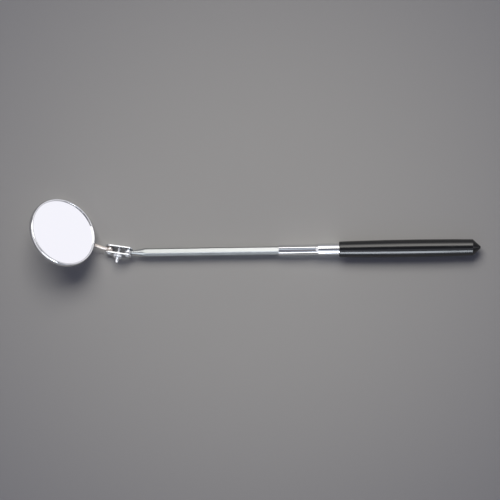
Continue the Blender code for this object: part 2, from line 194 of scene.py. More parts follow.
FULL_TURN = 2.0 * math.pi
QUARTER_TURN = math.pi / 2


# ---------------------------------------------------------------------------------------------
# Places, from the frame
# ---------------------------------------------------------------------------------------------

joints = {joint["name"]: joint for joint in frame["joints"]}
mounts = {mount["name"]: mount for mount in frame["record"]["mounts"]}


def middle(node):
    """The middle of a CAD node's box."""
    low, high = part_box(node)
    return (low + high) / 2


def placed(origin, z_axis, x_hint):
    """A matrix whose Z axis lies along z_axis and whose X axis lies as near x_hint as it can."""
    z_axis = z_axis.normalized()
    y_axis = z_axis.cross(x_hint).normalized()
    turn = Matrix((y_axis.cross(z_axis), y_axis, z_axis)).transposed()
    return Matrix.Translation(origin) @ turn.to_4x4()


rod_ball_place = middle("rod_ball")
mirror_ball_place = middle("mirror_ball")
along_clamp = (mirror_ball_place - rod_ball_place).normalized()
screw_axis = Vector(joints["clamp_swing"]["axis"]).normalized()
stem_axis = Vector(joints["mirror_twist"]["axis"]).normalized()
facing = -Vector(mounts["mirror_back"]["axis"]).normalized()
ball_spacing = (mirror_ball_place - rod_ball_place).length
screw_place = (mirror_ball_place + rod_ball_place) / 2

WORLD = Matrix.Identity(4)
TOOL = placed(rod_ball_place, Vector((1.0, 0.0, 0.0)), Vector((0.0, 1.0, 0.0)))
CLAMP = placed(screw_place, screw_axis, along_clamp)
CLAMP_FLIPPED = placed(screw_place, -screw_axis, along_clamp)
STEM = placed(mirror_ball_place, stem_axis, screw_axis)
HEAD = placed(Vector(mounts["mirror_back"]["pos_m"]), facing, stem_axis)


# ---------------------------------------------------------------------------------------------
# Mesh tools
# ---------------------------------------------------------------------------------------------

def skin(name, loops, wrap=False, sharp=35.0):
    """A closed mesh through a row of loops with equal counts. A loop of one point is a pole."""
    bm = bmesh.new()
    rows = [[bm.verts.new(point) for point in loop] for loop in loops]
    pairs = list(zip(rows, rows[1:]))
    if wrap:
        pairs.append((rows[-1], rows[0]))
    for near, far in pairs:
        count = max(len(near), len(far))
        for i in range(count):
            j = (i + 1) % count
            corners = [near[i % len(near)], near[j % len(near)]]
            corners += [far[j % len(far)], far[i % len(far)]]
            bm.faces.new(list(dict.fromkeys(corners)))
    bmesh.ops.recalc_face_normals(bm, faces=bm.faces)
    mesh = bpy.data.meshes.new(name)
    bm.to_mesh(mesh)
    bm.free()
    mesh.shade_smooth()
    mesh.set_sharp_from_angle(angle=math.radians(sharp))
    return mesh


def ring(height, radius, steps):
    """A loop at one height. radius is a number, or a function of the angle and the height."""
    loop = []
    for i in range(steps):
        angle = FULL_TURN * i / steps
        r = radius(angle, height) if callable(radius) else radius
        loop.append((r * math.cos(angle), r * math.sin(angle), height))
    return loop


def lathe(name, profile, steps=SMALL_STEPS):
    """A solid of revolution about Z through (radius, height) points."""
    loops = [ring(z, r, steps) if r > 0.0 else [(0.0, 0.0, z)] for r, z in profile]
    return skin(name, loops)


def rounded(points, segments=6):
    """Fillets the inner corners of (radius, height, fillet) points.

    A corner too close to its neighbours gets the largest fillet that fits. A point just beyond each
    fillet keeps the flat beside it shaded flat.
    """
    result = [points[0][:2]]
    for before, here, after in zip(points, points[1:], points[2:]):
        corner = Vector(here[:2])
        back, ahead = Vector(before[:2]) - corner, Vector(after[:2]) - corner
        half = back.angle(ahead) / 2
        reach = min(here[2] / math.tan(half), 0.49 * back.length, 0.49 * ahead.length)
        if reach < 1e-7:
            result.append(tuple(corner))
            continue
        start, end = corner + back.normalized() * reach, corner + ahead.normalized() * reach
        if back.length > 2 * (reach + FLAT_MARGIN):
            result.append(tuple(start + back.normalized() * FLAT_MARGIN))
        radius = reach * math.tan(half)
        toward = (back.normalized() + ahead.normalized()).normalized()
        centre = corner + toward * (radius / math.sin(half))
        first, last = start - centre, end - centre
        for i in range(segments + 1):
            ray = first.slerp(last, i / segments)
            result.append(tuple(centre + ray.normalized() * radius))
        if ahead.length > 2 * (reach + FLAT_MARGIN):
            result.append(tuple(end + ahead.normalized() * FLAT_MARGIN))
    result.append(points[-1][:2])
    return result


def rounded_hexagon(angle, flats, corner, hollow=0.0):
    """Radius of a hexagon with round corners and hollow flats, at an angle from a flat's middle."""
    half = flats / 2
    sixth = math.radians(60.0)
    offset = abs((angle + sixth / 2) % sixth - sixth / 2)
    tangent = math.atan((half - corner) * math.tan(sixth / 2) / half)
    if offset < tangent:
        dip = hollow * (1.0 + math.cos(math.pi * offset / tangent)) / 2
        return (half - dip) / math.cos(offset)
    centre = (half - corner) / math.cos(sixth / 2)
    from_corner = sixth / 2 - offset
    off_line = centre * math.sin(from_corner)
    return centre * math.cos(from_corner) + math.sqrt(corner**2 - off_line**2)


def smooth_step(value):
    """Eases from 0 to 1 as value does."""
    value = min(max(value, 0.0), 1.0)
    return value * value * (3.0 - 2.0 * value)


def soft_max(a, b, width):
    """The larger of two heights, with the crease between them filleted over width."""
    overlap = max(width - abs(a - b), 0.0) / width
    return max(a, b) + width * overlap * overlap / 4


def spread(start, end, count):
    """count + 1 even steps from start to end."""
    return [start + (end - start) * i / count for i in range(count + 1)]


def piece(name, mesh, place, finish, body, slot, *nodes):
    """Shows a mesh in place of CAD nodes, moving with a body. The mesh is modelled along place."""
    mesh.transform(place)
    obj = bpy.data.objects.new(name, mesh)
    bpy.context.scene.collection.objects.link(obj)
    mesh.materials.append(finish)
    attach(obj, body)
    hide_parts(*nodes)
    return obj


# ---------------------------------------------------------------------------------------------
# Finishes
# ---------------------------------------------------------------------------------------------

class Finish:
    """A Principled material whose variation comes from noise in metres, along the axes of place.

    colour and roughness are the plain values. Most finishes then put a varied one in their place.
    """

    def __init__(self, name, colour, roughness, metallic=1.0, place=WORLD, **sockets):
        self.material = bpy.data.materials.new(name)
        self.material.use_nodes = True
        self.tree = self.material.node_tree
        self.shader = self.tree.nodes["Principled BSDF"]
        self.shader.inputs["Base Color"].default_value = (*colour, 1.0)
        self.shader.inputs["Roughness"].default_value = roughness
        self.shader.inputs["Metallic"].default_value = metallic
        for socket, value in sockets.items():
            self.shader.inputs[socket.replace("_", " ")].default_value = value
        own = self.node("ShaderNodeTexCoord")
        self.position = self.seen_from(place, own.outputs["Object"])
        self.normal = self.seen_from(place.to_3x3().to_4x4(), own.outputs["Normal"])
        self.bumps = None

    def node(self, kind, **settings):
        made = self.tree.nodes.new(kind)
        for key, value in settings.items():
            setattr(made, key, value)
        return made

    def join(self, source, target):
        """Feeds a socket from a number, a colour or another node."""
        if isinstance(source, (int, float)):
            target.default_value = source
        elif isinstance(source, tuple):
            target.default_value = (*source, 1.0)
        else:
            self.tree.links.new(source, target)

    def seen_from(self, place, vector):
        """The same vector along the axes of place."""
        mapping = self.node("ShaderNodeMapping", vector_type="TEXTURE")
        mapping.inputs["Location"].default_value = place.to_translation()
        mapping.inputs["Rotation"].default_value = place.to_euler()
        self.join(vector, mapping.inputs["Vector"])
        return mapping.outputs["Vector"]

    def noise(self, scale, stretch=(1.0, 1.0, 1.0), detail=3.0, shift=0.0):
        """Noise with scale features a metre, made longer along an axis by a stretch below 1."""
        mapping = self.node("ShaderNodeMapping")
        mapping.inputs["Scale"].default_value = stretch
        mapping.inputs["Location"].default_value = (shift, shift, shift)
        self.join(self.position, mapping.inputs["Vector"])
        texture = self.node("ShaderNodeTexNoise")
        texture.inputs["Scale"].default_value = scale
        texture.inputs["Detail"].default_value = detail
        self.join(mapping.outputs["Vector"], texture.inputs["Vector"])
        return texture.outputs["Fac"]

    def cells(self, scale):
        """Distance from the nearest of scattered points, scale of them a metre."""
        texture = self.node("ShaderNodeTexVoronoi")
        texture.inputs["Scale"].default_value = scale
        self.join(self.position, texture.inputs["Vector"])
        return texture.outputs["Distance"]

    def fit(self, value, low, high, to_low, to_high):
        """Maps low..high to to_low..to_high and clamps the result."""
        ranged = self.node("ShaderNodeMapRange", clamp=True)
        self.join(value, ranged.inputs["Value"])
        ranged.inputs["From Min"].default_value = low
        ranged.inputs["From Max"].default_value = high
        ranged.inputs["To Min"].default_value = to_low
        ranged.inputs["To Max"].default_value = to_high
        return ranged.outputs["Result"]

    def math(self, operation, first, second=0.0):
        made = self.node("ShaderNodeMath", operation=operation)
        self.join(first, made.inputs[0])
        self.join(second, made.inputs[1])
        return made.outputs["Value"]

    def mix(self, factor, first, second, kind="RGBA"):
        """Goes from first to second as factor goes from 0 to 1. Numbers need the kind FLOAT."""
        made = self.node("ShaderNodeMix", data_type=kind)
        self.join(factor, made.inputs["Factor"])
        self.join(first, made.inputs["A"])
        self.join(second, made.inputs["B"])
        return made.outputs["Result"]

    def edges(self, low=0.52, high=0.58):
        """1 on convex edges and 0 elsewhere, for a metal worn lighter there. The thread's roots, at 0, carry
        painted shade.
        """
        pointiness = self.node("ShaderNodeNewGeometry").outputs["Pointiness"]
        return self.fit(pointiness, low, high, 0.0, 1.0)

    def facing_axis(self):
        """How far the surface faces along the piece's own Z axis, from -1 to 1."""
        split = self.node("ShaderNodeSeparateXYZ")
        self.join(self.normal, split.inputs["Vector"])
        return split.outputs["Z"]

    def colour(self, source):
        self.join(source, self.shader.inputs["Base Color"])

    def roughness(self, source):
        self.join(source, self.shader.inputs["Roughness"])

    def bump(self, height, depth):
        """Adds relief: height runs from 0 to 1 over depth metres."""
        made = self.node("ShaderNodeBump")
        made.inputs["Distance"].default_value = depth
        self.join(height, made.inputs["Height"])
        if self.bumps is not None:
            self.join(self.bumps, made.inputs["Normal"])
        self.bumps = made.outputs["Normal"]
        self.join(self.bumps, self.shader.inputs["Normal"])


# Noise stretched into lines along a piece's Z axis
LENGTHWAYS = (1.0, 1.0, 0.012)


def chrome_finish():
    """Bright plate over drawn tube: hairlines along it and a few dull smudges."""
    finish = Finish("chrome_plate", (0.80, 0.81, 0.82), 0.06, place=TOOL)
    hairlines = finish.noise(7000.0, LENGTHWAYS)
    smudges = finish.noise(90.0, detail=5.0, shift=3.1)
    dulling = finish.fit(smudges, 0.5, 0.75, 0.0, 0.05)
    finish.roughness(finish.math("ADD", finish.fit(hairlines, 0.45, 0.75, 0.045, 0.11), dulling))
    finish.colour(finish.mix(smudges, (0.83, 0.84, 0.85), (0.77, 0.78, 0.79)))
    finish.bump(hairlines, 0.0006 * MM)
    return finish.material


def nickel_finish():
    """Satin plate over cold-drawn bar, with draw marks along it."""
    finish = Finish("nickel_plate", (0.39, 0.41, 0.405), 0.33, place=TOOL)
    drawn = finish.noise(5200.0, LENGTHWAYS, detail=4.0)
    cloud = finish.noise(140.0, detail=4.0, shift=1.7)
    drawn_rough = finish.fit(drawn, 0.3, 0.7, 0.25, 0.36)
    finish.roughness(finish.math("ADD", drawn_rough, finish.fit(cloud, 0.3, 0.7, 0.0, 0.05)))
    worn = finish.mix(cloud, (0.365, 0.385, 0.385), (0.435, 0.455, 0.455))
    finish.colour(finish.mix(finish.edges(), worn, (0.60, 0.61, 0.62)))
    finish.bump(drawn, 0.004 * MM)
    return finish.material


def ball_finish(name, place, colour, tint):
    """Ground and plated ball with faint rubbing marks from its seats."""
    finish = Finish(name, colour, 0.2, place=place)
    rubbed = finish.noise(1500.0, (1.0, 0.15, 1.0), detail=4.0)
    cloud = finish.noise(500.0, detail=3.0, shift=2.2)
    finish.roughness(finish.fit(rubbed, 0.35, 0.7, 0.2, 0.36))
    finish.colour(finish.mix(cloud, colour, tint))
    finish.bump(rubbed, 0.002 * MM)
    return finish.material


def pressed_steel_finish():
    """Nickel-plated strip: rolled faces with a grain along the strip, and sheared edges."""
    finish = Finish("pressed_steel", (0.66, 0.67, 0.68), 0.25, place=CLAMP)
    grain = finish.noise(4200.0, (0.03, 1.0, 1.0), detail=4.0)
    shear = finish.noise(6000.0, (1.0, 1.0, 0.06), detail=3.0, shift=4.0)
    on_edge = finish.fit(finish.math("ABSOLUTE", finish.facing_axis()), 0.25, 0.6, 1.0, 0.0)
    face_rough = finish.fit(grain, 0.3, 0.7, 0.14, 0.24)
    edge_rough = finish.fit(shear, 0.3, 0.7, 0.28, 0.44)
    finish.roughness(finish.mix(on_edge, face_rough, edge_rough, "FLOAT"))
    cloud = finish.noise(300.0, detail=4.0, shift=5.0)
    plate = finish.mix(cloud, (0.62, 0.64, 0.66), (0.70, 0.71, 0.72))
    finish.colour(finish.mix(finish.edges(), plate, (0.80, 0.81, 0.81)))
    finish.bump(grain, 0.004 * MM)
    finish.bump(finish.math("MULTIPLY", shear, on_edge), 0.01 * MM)
    return finish.material


def thread_finish():
    """Cut thread under thin plate, with painted shade darkening its roots."""
    finish = Finish("threaded_steel", (0.72, 0.73, 0.74), 0.3, place=CLAMP)
    grain = finish.noise(3500.0, detail=4.0)
    finish.roughness(finish.fit(grain, 0.3, 0.7, 0.28, 0.42))
    # Painted shade in the thread's roots, which stay darker than its crests
    finish.colour(finish.mix(finish.edges(0.4, 0.56), (0.64, 0.65, 0.67), (0.86, 0.87, 0.89)))
    finish.bump(grain, 0.003 * MM)
    return finish.material


def stem_finish():
    """Zinc plate with a warm, slightly pink and yellow tint, dull where the wire was drawn."""
    finish = Finish("stem_zinc", (0.84, 0.77, 0.70), 0.3, place=STEM)
    tint = finish.noise(420.0, (1.0, 1.0, 0.4), detail=4.0)
    drawn = finish.noise(5000.0, LENGTHWAYS, shift=1.0)
    pinkness = finish.fit(tint, 0.35, 0.65, 0.0, 1.0)
    finish.colour(finish.mix(pinkness, (0.88, 0.79, 0.68), (0.82, 0.75, 0.73)))
    finish.roughness(finish.fit(drawn, 0.3, 0.7, 0.28, 0.44))
    finish.bump(drawn, 0.004 * MM)
    return finish.material


def bezel_finish():
    """Bright-plated pressing with a fine grain and duller patches."""
    finish = Finish("bezel_plate", (0.76, 0.76, 0.76), 0.12, place=HEAD)
    cloud = finish.noise(160.0, detail=5.0)
    fine = finish.noise(2600.0, detail=3.0, shift=2.0)
    cloud_rough = finish.fit(cloud, 0.35, 0.7, 0.06, 0.12)
    finish.roughness(finish.math("ADD", cloud_rough, finish.fit(fine, 0.4, 0.7, 0.0, 0.05)))
    finish.colour(finish.mix(cloud, (0.75, 0.75, 0.75), (0.68, 0.69, 0.70)))
    finish.bump(fine, 0.002 * MM)
    return finish.material


def glass_finish():
    """Silvered glass: a mirror face with wiping marks and dust, ground edges and a painted back."""
    finish = Finish("silvered_glass", (0.93, 0.94, 0.95), 0.015, place=HEAD)
    axis = finish.facing_axis()
    front = finish.fit(axis, 0.8, 0.95, 0.0, 1.0)
    back = finish.fit(axis, -0.95, -0.8, 1.0, 0.0)
    wiping = finish.noise(70.0, (1.0, 0.3, 1.0), detail=5.0)
    specks = finish.fit(finish.cells(450.0), 0.02, 0.05, 1.0, 0.0)
    mirror = finish.mix(specks, (0.95, 0.95, 0.965), (0.86, 0.86, 0.87))
    edge = finish.mix(finish.noise(3000.0), (0.42, 0.52, 0.47), (0.50, 0.60, 0.54))
    finish.colour(finish.mix(back, finish.mix(front, edge, mirror), (0.16, 0.15, 0.15)))
    finish.join(front, finish.shader.inputs["Metallic"])
    clean = finish.fit(wiping, 0.5, 0.8, 0.012, 0.035)
    face_rough = finish.math("ADD", clean, finish.math("MULTIPLY", specks, 0.25))
    finish.roughness(finish.mix(front, 0.4, face_rough, "FLOAT"))
    return finish.material


def vinyl_finish():
    """Glossy black vinyl: a soft orange peel, patches dulled by hands and fine scuffs along it."""
    finish = Finish("black_vinyl", (0.012, 0.012, 0.013), 0.1, metallic=0.0, place=TOOL, IOR=1.55)
    peel = finish.noise(900.0, detail=2.0)
    rubbed = finish.noise(2600.0, (1.0, 1.0, 0.05), detail=5.0, shift=2.0)
    scuffs = finish.fit(rubbed, 0.62, 0.75, 0.0, 1.0)
    handled = finish.noise(60.0, detail=4.0, shift=6.0)
    handled_rough = finish.fit(handled, 0.4, 0.7, 0.10, 0.17)
    finish.roughness(finish.math("ADD", handled_rough, finish.math("MULTIPLY", scuffs, 0.12)))
    finish.colour(finish.mix(scuffs, (0.010, 0.010, 0.011), (0.022, 0.022, 0.023)))
    finish.bump(peel, 0.004 * MM)
    return finish.material


def small_metal_finish(name, colour, roughness):
    """A turned small part: tool marks around it and a mottled tone."""
    finish = Finish(name, colour, roughness)
    marks = finish.noise(9000.0, (0.05, 0.05, 1.0))
    cloud = finish.noise(600.0, detail=4.0, shift=1.0)
    finish.roughness(finish.fit(marks, 0.3, 0.7, roughness * 0.7, roughness * 1.3))
    finish.colour(finish.mix(cloud, colour, tuple(channel * 0.82 for channel in colour)))
    finish.bump(marks, 0.004 * MM)
    return finish.material


def board_finish():
    """Grey fibre board."""
    finish = Finish("grey_board", (0.42, 0.41, 0.38), 0.9, metallic=0.0)
    fibres = finish.noise(1400.0, (1.0, 0.25, 1.0), detail=6.0)
    finish.colour(finish.mix(fibres, (0.34, 0.33, 0.31), (0.50, 0.49, 0.46)))
    finish.bump(fibres, 0.03 * MM)
    return finish.material


# ---------------------------------------------------------------------------------------------
# Handle
# ---------------------------------------------------------------------------------------------

def grip_radius(x):
    """The grip's radius, which falls with the square of the distance from the belly."""
    fall = (GRIP_BELLY_RADIUS - GRIP_FRONT_RADIUS) / (GRIP_BELLY - GRIP_FRONT) ** 2
    return GRIP_BELLY_RADIUS - fall * (x - GRIP_BELLY) ** 2


def make_grip(finish):
    """A moulded sleeve with a rolled front lip, a blind bore and a pointed rear end."""
    bore = TUBE_RADIUS + CONTACT
    barrel_end = GRIP_CONE_START - GRIP_SHOULDER_RUN
    lip_end = GRIP_FRONT + GRIP_LIP_RUN
    shoulder = GRIP_CONE_START + GRIP_SHOULDER_SHIFT
    # Radius, place along the tool and fillet
    tip = [
        (0.0, GRIP_TIP, 0.0),
        (GRIP_TIP_RADIUS, GRIP_TIP, GRIP_TIP_ROUND),
        (grip_radius(GRIP_CONE_START), shoulder, GRIP_SHOULDER_ROUND),
        (grip_radius(barrel_end), barrel_end, 0.0),
    ]
    front = [
        (grip_radius(lip_end), lip_end, 0.0),
        (GRIP_FRONT_RADIUS, GRIP_FRONT, GRIP_LIP_ROUND),
        (bore, GRIP_FRONT, GRIP_BORE_CHAMFER),
        (bore, GRIP_BORE_END, GRIP_BORE_ROUND),
        (0.0, GRIP_BORE_END, 0.0),
    ]
    barrel = [(grip_radius(x), x) for x in spread(barrel_end, lip_end, 42)[1:-1]]
    mesh = lathe("grip", rounded(tip) + barrel + rounded(front), GRIP_STEPS)
    piece("grip", mesh, TOOL, finish, "handle", "vinyl", "grip_sleeve")


def tube_loop(x, inset):
    """The tube's section at x, drawn in by inset: a hollow-sided hexagon, then a circle."""
    def radius(angle, height):
        flats = TUBE_NECK_FLATS - 2 * inset
        corner = TUBE_NECK_CORNER - inset
        neck = rounded_hexagon(angle - QUARTER_TURN, flats, corner, TUBE_FLAT_HOLLOW)
        blend = smooth_step((x - TUBE_NECK_END) / (TUBE_ROUND_START - TUBE_NECK_END))
        return neck + (TUBE_RADIUS - inset - neck) * blend
    return ring(x, radius, HEX_STEPS)


def make_tube(finish):
    """A drawn tube, round under the grip and swaged to a hollow-sided hexagon at its mouth."""
    stations = spread(TUBE_NECK_END, TUBE_ROUND_START, 20)
    loops = []
    for angle in spread(QUARTER_TURN, 0.0, 5):
        x = TUBE_MOUTH + TUBE_MOUTH_ROUND * (1.0 - math.sin(angle))
        loops.append(tube_loop(x, TUBE_MOUTH_ROUND * (1.0 - math.cos(angle))))
    loops += [tube_loop(x, 0.0) for x in [*stations, TUBE_END]]
    loops += [tube_loop(x, TUBE_WALL) for x in [TUBE_END, *reversed(stations), TUBE_MOUTH]]
    mesh = skin("tube", loops, wrap=True)
    piece("tube", mesh, TOOL, finish, "handle", "chrome", "handle_tube")


# ---------------------------------------------------------------------------------------------
# Sliding rod
# ---------------------------------------------------------------------------------------------

def make_rod(finish):
    """A hexagonal bar turned down to a taper and a neck, whose end is cupped to meet the ball."""
    corner = ROD_FLATS / 2 / math.cos(math.radians(30.0))
    slope = (corner - ROD_NECK_RADIUS) / (ROD_TAPER_END - ROD_NECK_END)

    def radius(angle, height):
        turned = ROD_NECK_RADIUS + slope * max(height - ROD_NECK_END, 0.0)
        bar = rounded_hexagon(angle - ROD_TURN - math.pi / 6, ROD_FLATS, ROD_CORNER)
        return -soft_max(-turned, -bar, ROD_TAPER_CREASE)

    def chamfered(angle, height):
        return radius(angle, height) - ROD_CHAMFER

    cup = BALL_RADIUS + CONTACT
    foot = ROD_NECK_RADIUS + ROD_FLARE
    foot_height = math.sqrt(cup**2 - foot**2)
    loops = [[(0.0, 0.0, cup)]]
    loops += [ring(math.sqrt(cup**2 - r**2), r, HEX_STEPS) for r in spread(0.0, foot, 6)[1:]]
    for angle in spread(0.0, QUARTER_TURN, 6)[1:]:
        z = foot_height + ROD_FLARE * math.sin(angle)
        loops.append(ring(z, foot - ROD_FLARE * (1.0 - math.cos(angle)), HEX_STEPS))
    taper = spread(ROD_NECK_END, ROD_TAPER_END + ROD_TAPER_RUN_OUT, 48)
    loops += [ring(z, radius, HEX_STEPS) for z in [*taper, ROD_END - ROD_CHAMFER]]
    loops.append(ring(ROD_END, chamfered, HEX_STEPS))
    loops.append(ring(ROD_END, ROD_DRILL_RADIUS, HEX_STEPS))
    loops.append(ring(ROD_END - ROD_DRILL_DEPTH, ROD_DRILL_RADIUS, HEX_STEPS))
    loops.append([(0.0, 0.0, ROD_END - ROD_DRILL_DEPTH)])
    piece("rod", skin("rod", loops), TOOL, finish, "rod", "nickel", "slide_rod")


def make_ball(name, place, finish, body, slot, node):
    """A turned ball, with a small flat opposite its neck."""
    profile = [(0.0, -BALL_RADIUS * math.cos(BALL_FLAT))]
    for angle in spread(BALL_FLAT, math.pi, 48)[:-1]:
        profile.append((BALL_RADIUS * math.sin(angle), -BALL_RADIUS * math.cos(angle)))
    profile.append((0.0, BALL_RADIUS))
    piece(name, lathe(name, profile), place, finish, body, slot, node)


# ---------------------------------------------------------------------------------------------
# Double ball clamp
# ---------------------------------------------------------------------------------------------

def dished(x, y, level, radius):
    """Height of a plate's face with a spherical dish at each end."""
    height = level
    for side in (-1.0, 1.0):
        square = radius**2 - (x - side * ball_spacing / 2) ** 2 - y**2
        if square > 0.0:
            height = soft_max(height, math.sqrt(square), DISH_FILLET)
    return height


def stadium_reach(angle, inset):
    """Distance from the plate's middle to its slot-shaped outline."""
    half, radius = ball_spacing / 2, PLATE_WIDTH / 2 - inset
    run, rise = abs(math.cos(angle)), abs(math.sin(angle))
    if rise * half > radius * run:
        return radius / rise
    return half * run + math.sqrt(radius**2 - (half * rise) ** 2)


def plate_loop(reach, height):
    """A loop of a plate, where reach and height depend on the angle and on the point."""
    loop = []
    for i in range(PLATE_STEPS):
        angle = FULL_TURN * i / PLATE_STEPS
        x, y = reach(angle) * math.cos(angle), reach(angle) * math.sin(angle)
        loop.append((x, y, height(x, y)))
    return loop


def make_plate(name, place, finish, node, hole):
    """A pressed strip with two dishes. hole is the (radius, height) profile of its screw hole."""
    def face(level, dish_radius, start):
        """The loops of one face, from its hole at radius start to its rounded edge."""
        def reach(angle):
            return start + (stadium_reach(angle, PLATE_EDGE_ROUND) - start) * share

        def height(x, y):
            return dished(x, y, level, dish_radius)

        found = []
        for share in spread(0.0, 1.0, PLATE_ROWS):
            found.append(plate_loop(reach, height))
        return found

    def rim(level, inward, turn):
        """The loop at one angle round an edge, which is rounded from level inward."""
        inset = PLATE_EDGE_ROUND * (1.0 - math.sin(turn))
        drop = inward * PLATE_EDGE_ROUND * (1.0 - math.cos(turn))
        return plate_loop(lambda angle: stadium_reach(angle, inset), lambda x, y: level + drop)

    turns = spread(0.0, QUARTER_TURN, 4)[1:]
    loops = face(PLATE_OUTSIDE, BALL_RADIUS + DISH_SWELL + DISH_WALL, hole[0][0])
    loops += [rim(PLATE_OUTSIDE, -1.0, turn) for turn in turns]
    loops += [rim(PLATE_INSIDE, 1.0, turn) for turn in reversed(turns)]
    loops += reversed(face(PLATE_INSIDE, BALL_RADIUS + CONTACT, hole[-1][0]))
    loops += [ring(z, r, PLATE_STEPS) for r, z in reversed(hole[1:-1])]
    mesh = skin(name, loops, wrap=True, sharp=50.0)
    piece(name, mesh, place, finish, "clamp", "clamp_steel", node)


def thread_radius(outer, depth, start, end):
    """Radius of a V thread between two heights, fading out at each end."""
    def radius(angle, height):
        turn = (height / SCREW_PITCH - angle / FULL_TURN) % 1.0
        tooth = min(max(1.25 * abs(2.0 * turn - 1.0) - 0.125, 0.0), 1.0)
        fade = min((height - start) / SCREW_THREAD_FADE, (end - height) / SCREW_THREAD_FADE, 1.0)
        return outer - depth * (1.0 - tooth * max(fade, 0.0))
    return radius


def make_screw(finish):
    """A countersunk, slotted screw with a full thread."""
    core = SCREW_RADIUS - SCREW_THREAD_DEPTH
    start = SCREW_THREAD_START - PLATE_INSIDE
    count = round((SCREW_REACH - start) / SCREW_PITCH * THREAD_SAMPLES)
    thread = thread_radius(SCREW_RADIUS, SCREW_THREAD_DEPTH, start, SCREW_REACH)
    head_top = -PLATE_OUTSIDE - SCREW_HEAD_RISE
    # Radius, height and fillet
    head = [
        (SCREW_HEAD_FLAT, head_top, 0.0),
        (SCREW_HEAD_SHOULDER, head_top, 0.6 * MM),
        (SCREW_HEAD_RADIUS, -PLATE_OUTSIDE + 0.02 * MM, 0.1 * MM),
        (SCREW_RADIUS, -PLATE_INSIDE - SINK_LAND, 0.2 * MM),
        (SCREW_RADIUS, -PLATE_INSIDE, 0.0),
        (core, start - 0.05 * MM, 0.0),
    ]
    loops = [[(0.0, 0.0, head_top)]]
    loops += [ring(z, r, SMALL_STEPS) for r, z in rounded(head)]
    loops += [ring(z, thread, SMALL_STEPS) for z in spread(start, SCREW_REACH, count)]
    loops.append(ring(SCREW_REACH, core - SCREW_POINT_STEP, SMALL_STEPS))
    loops.append([(0.0, 0.0, SCREW_REACH)])
    mesh = skin("screw", loops)
    obj = piece("screw", mesh, CLAMP, finish, "clamp", "clamp_steel", "clamp_screw")
    cut_slot(obj, CLAMP, head_top, SCREW_SLOT_WIDTH, SCREW_SLOT_DEPTH)


def cut_slot(obj, place, face, width, depth):
    """Cuts a screwdriver slot across the end of a piece, which is at height face along place."""
    bm = bmesh.new()
    bmesh.ops.create_cube(bm, size=1.0)
    bmesh.ops.scale(bm, verts=bm.verts, vec=(4 * SCREW_HEAD_RADIUS, width, 2 * depth))
    bmesh.ops.translate(bm, verts=bm.verts, vec=(0.0, 0.0, face))
    mesh = bpy.data.meshes.new("slot")
    bm.to_mesh(mesh)
    bm.free()
    blade = bpy.data.objects.new("slot", mesh)
    bpy.context.scene.collection.objects.link(blade)
    blade.matrix_world = place
    cut = obj.modifiers.new("Slot", "BOOLEAN")
    cut.object = blade
    cut.solver = "EXACT"
    bpy.context.view_layer.update()
    evaluated = obj.evaluated_get(bpy.context.evaluated_depsgraph_get())
    result = bpy.data.meshes.new_from_object(evaluated)
    obj.modifiers.clear()
    obj.data = result
    result.set_sharp_from_angle(angle=math.radians(35.0))
    bpy.data.objects.remove(blade)


def make_nut(finish):
    """A hexagon nut, chamfered on both faces, with a thread in its bore."""
    low = PLATE_OUTSIDE + NUT_FACE_GAP / 2
    high = PLATE_OUTSIDE + NUT_FACE_GAP + NUT_THICKNESS
    face = NUT_FLATS / 2 - 0.05 * MM

    def radius(angle, height):
        cone = face + NUT_CHAMFER_SLOPE * min(height - low, high - height)
        return -soft_max(-cone, -rounded_hexagon(angle, NUT_FLATS, NUT_CORNER), NUT_CREASE)

    crest = SCREW_RADIUS + CONTACT
    thread = thread_radius(crest + NUT_THREAD_DEPTH, NUT_THREAD_DEPTH, low, high)
    count = round((high - low) / SCREW_PITCH * THREAD_SAMPLES)
    threaded_part = spread(high - NUT_MOUTH_DEPTH, low + NUT_MOUTH_DEPTH, count)
    outside = [ring(z, radius, HEX_STEPS) for z in spread(low, high, 28)]
    inside = [ring(z, thread, HEX_STEPS) for z in threaded_part]
    mouth = crest + NUT_MOUTH_CHAMFER
    loops = [ring(low, mouth, HEX_STEPS), *outside, ring(high, mouth, HEX_STEPS), *inside]
    piece("nut", skin("nut", loops, wrap=True), CLAMP, finish, "nut", "clamp_steel", "clamp_nut")


# ---------------------------------------------------------------------------------------------
# Mirror head
# ---------------------------------------------------------------------------------------------

def make_stem(finish):
    """A drawn wire, cupped to the ball and flared where it is brazed to the bezel."""
    cup = BALL_RADIUS + CONTACT
    foot = STEM_RADIUS + STEM_FOOT_FLARE
    flange_flare = STEM_FLANGE_RADIUS - STEM_RADIUS
    end = STEM_LENGTH - 2 * CONTACT
    profile = [(0.0, cup)]
    profile += [(r, math.sqrt(cup**2 - r**2)) for r in spread(0.0, foot, 6)[1:]]
    neck = profile[-1][1]
    for share in spread(0.0, 1.0, 8)[1:]:
        r = STEM_RADIUS + STEM_FOOT_FLARE * (1.0 - share) ** 2
        profile.append((r, neck + STEM_FOOT_RUN * share))
    for share in spread(0.0, 1.0, 14):
        z = end - STEM_FLANGE_LENGTH * (1.0 - share)
        profile.append((STEM_RADIUS + flange_flare * share**2.5, z))
    profile.append((0.0, end))
    piece("stem", lathe("stem", profile), STEM, finish, "stem", "stem_zinc", "mirror_stem")


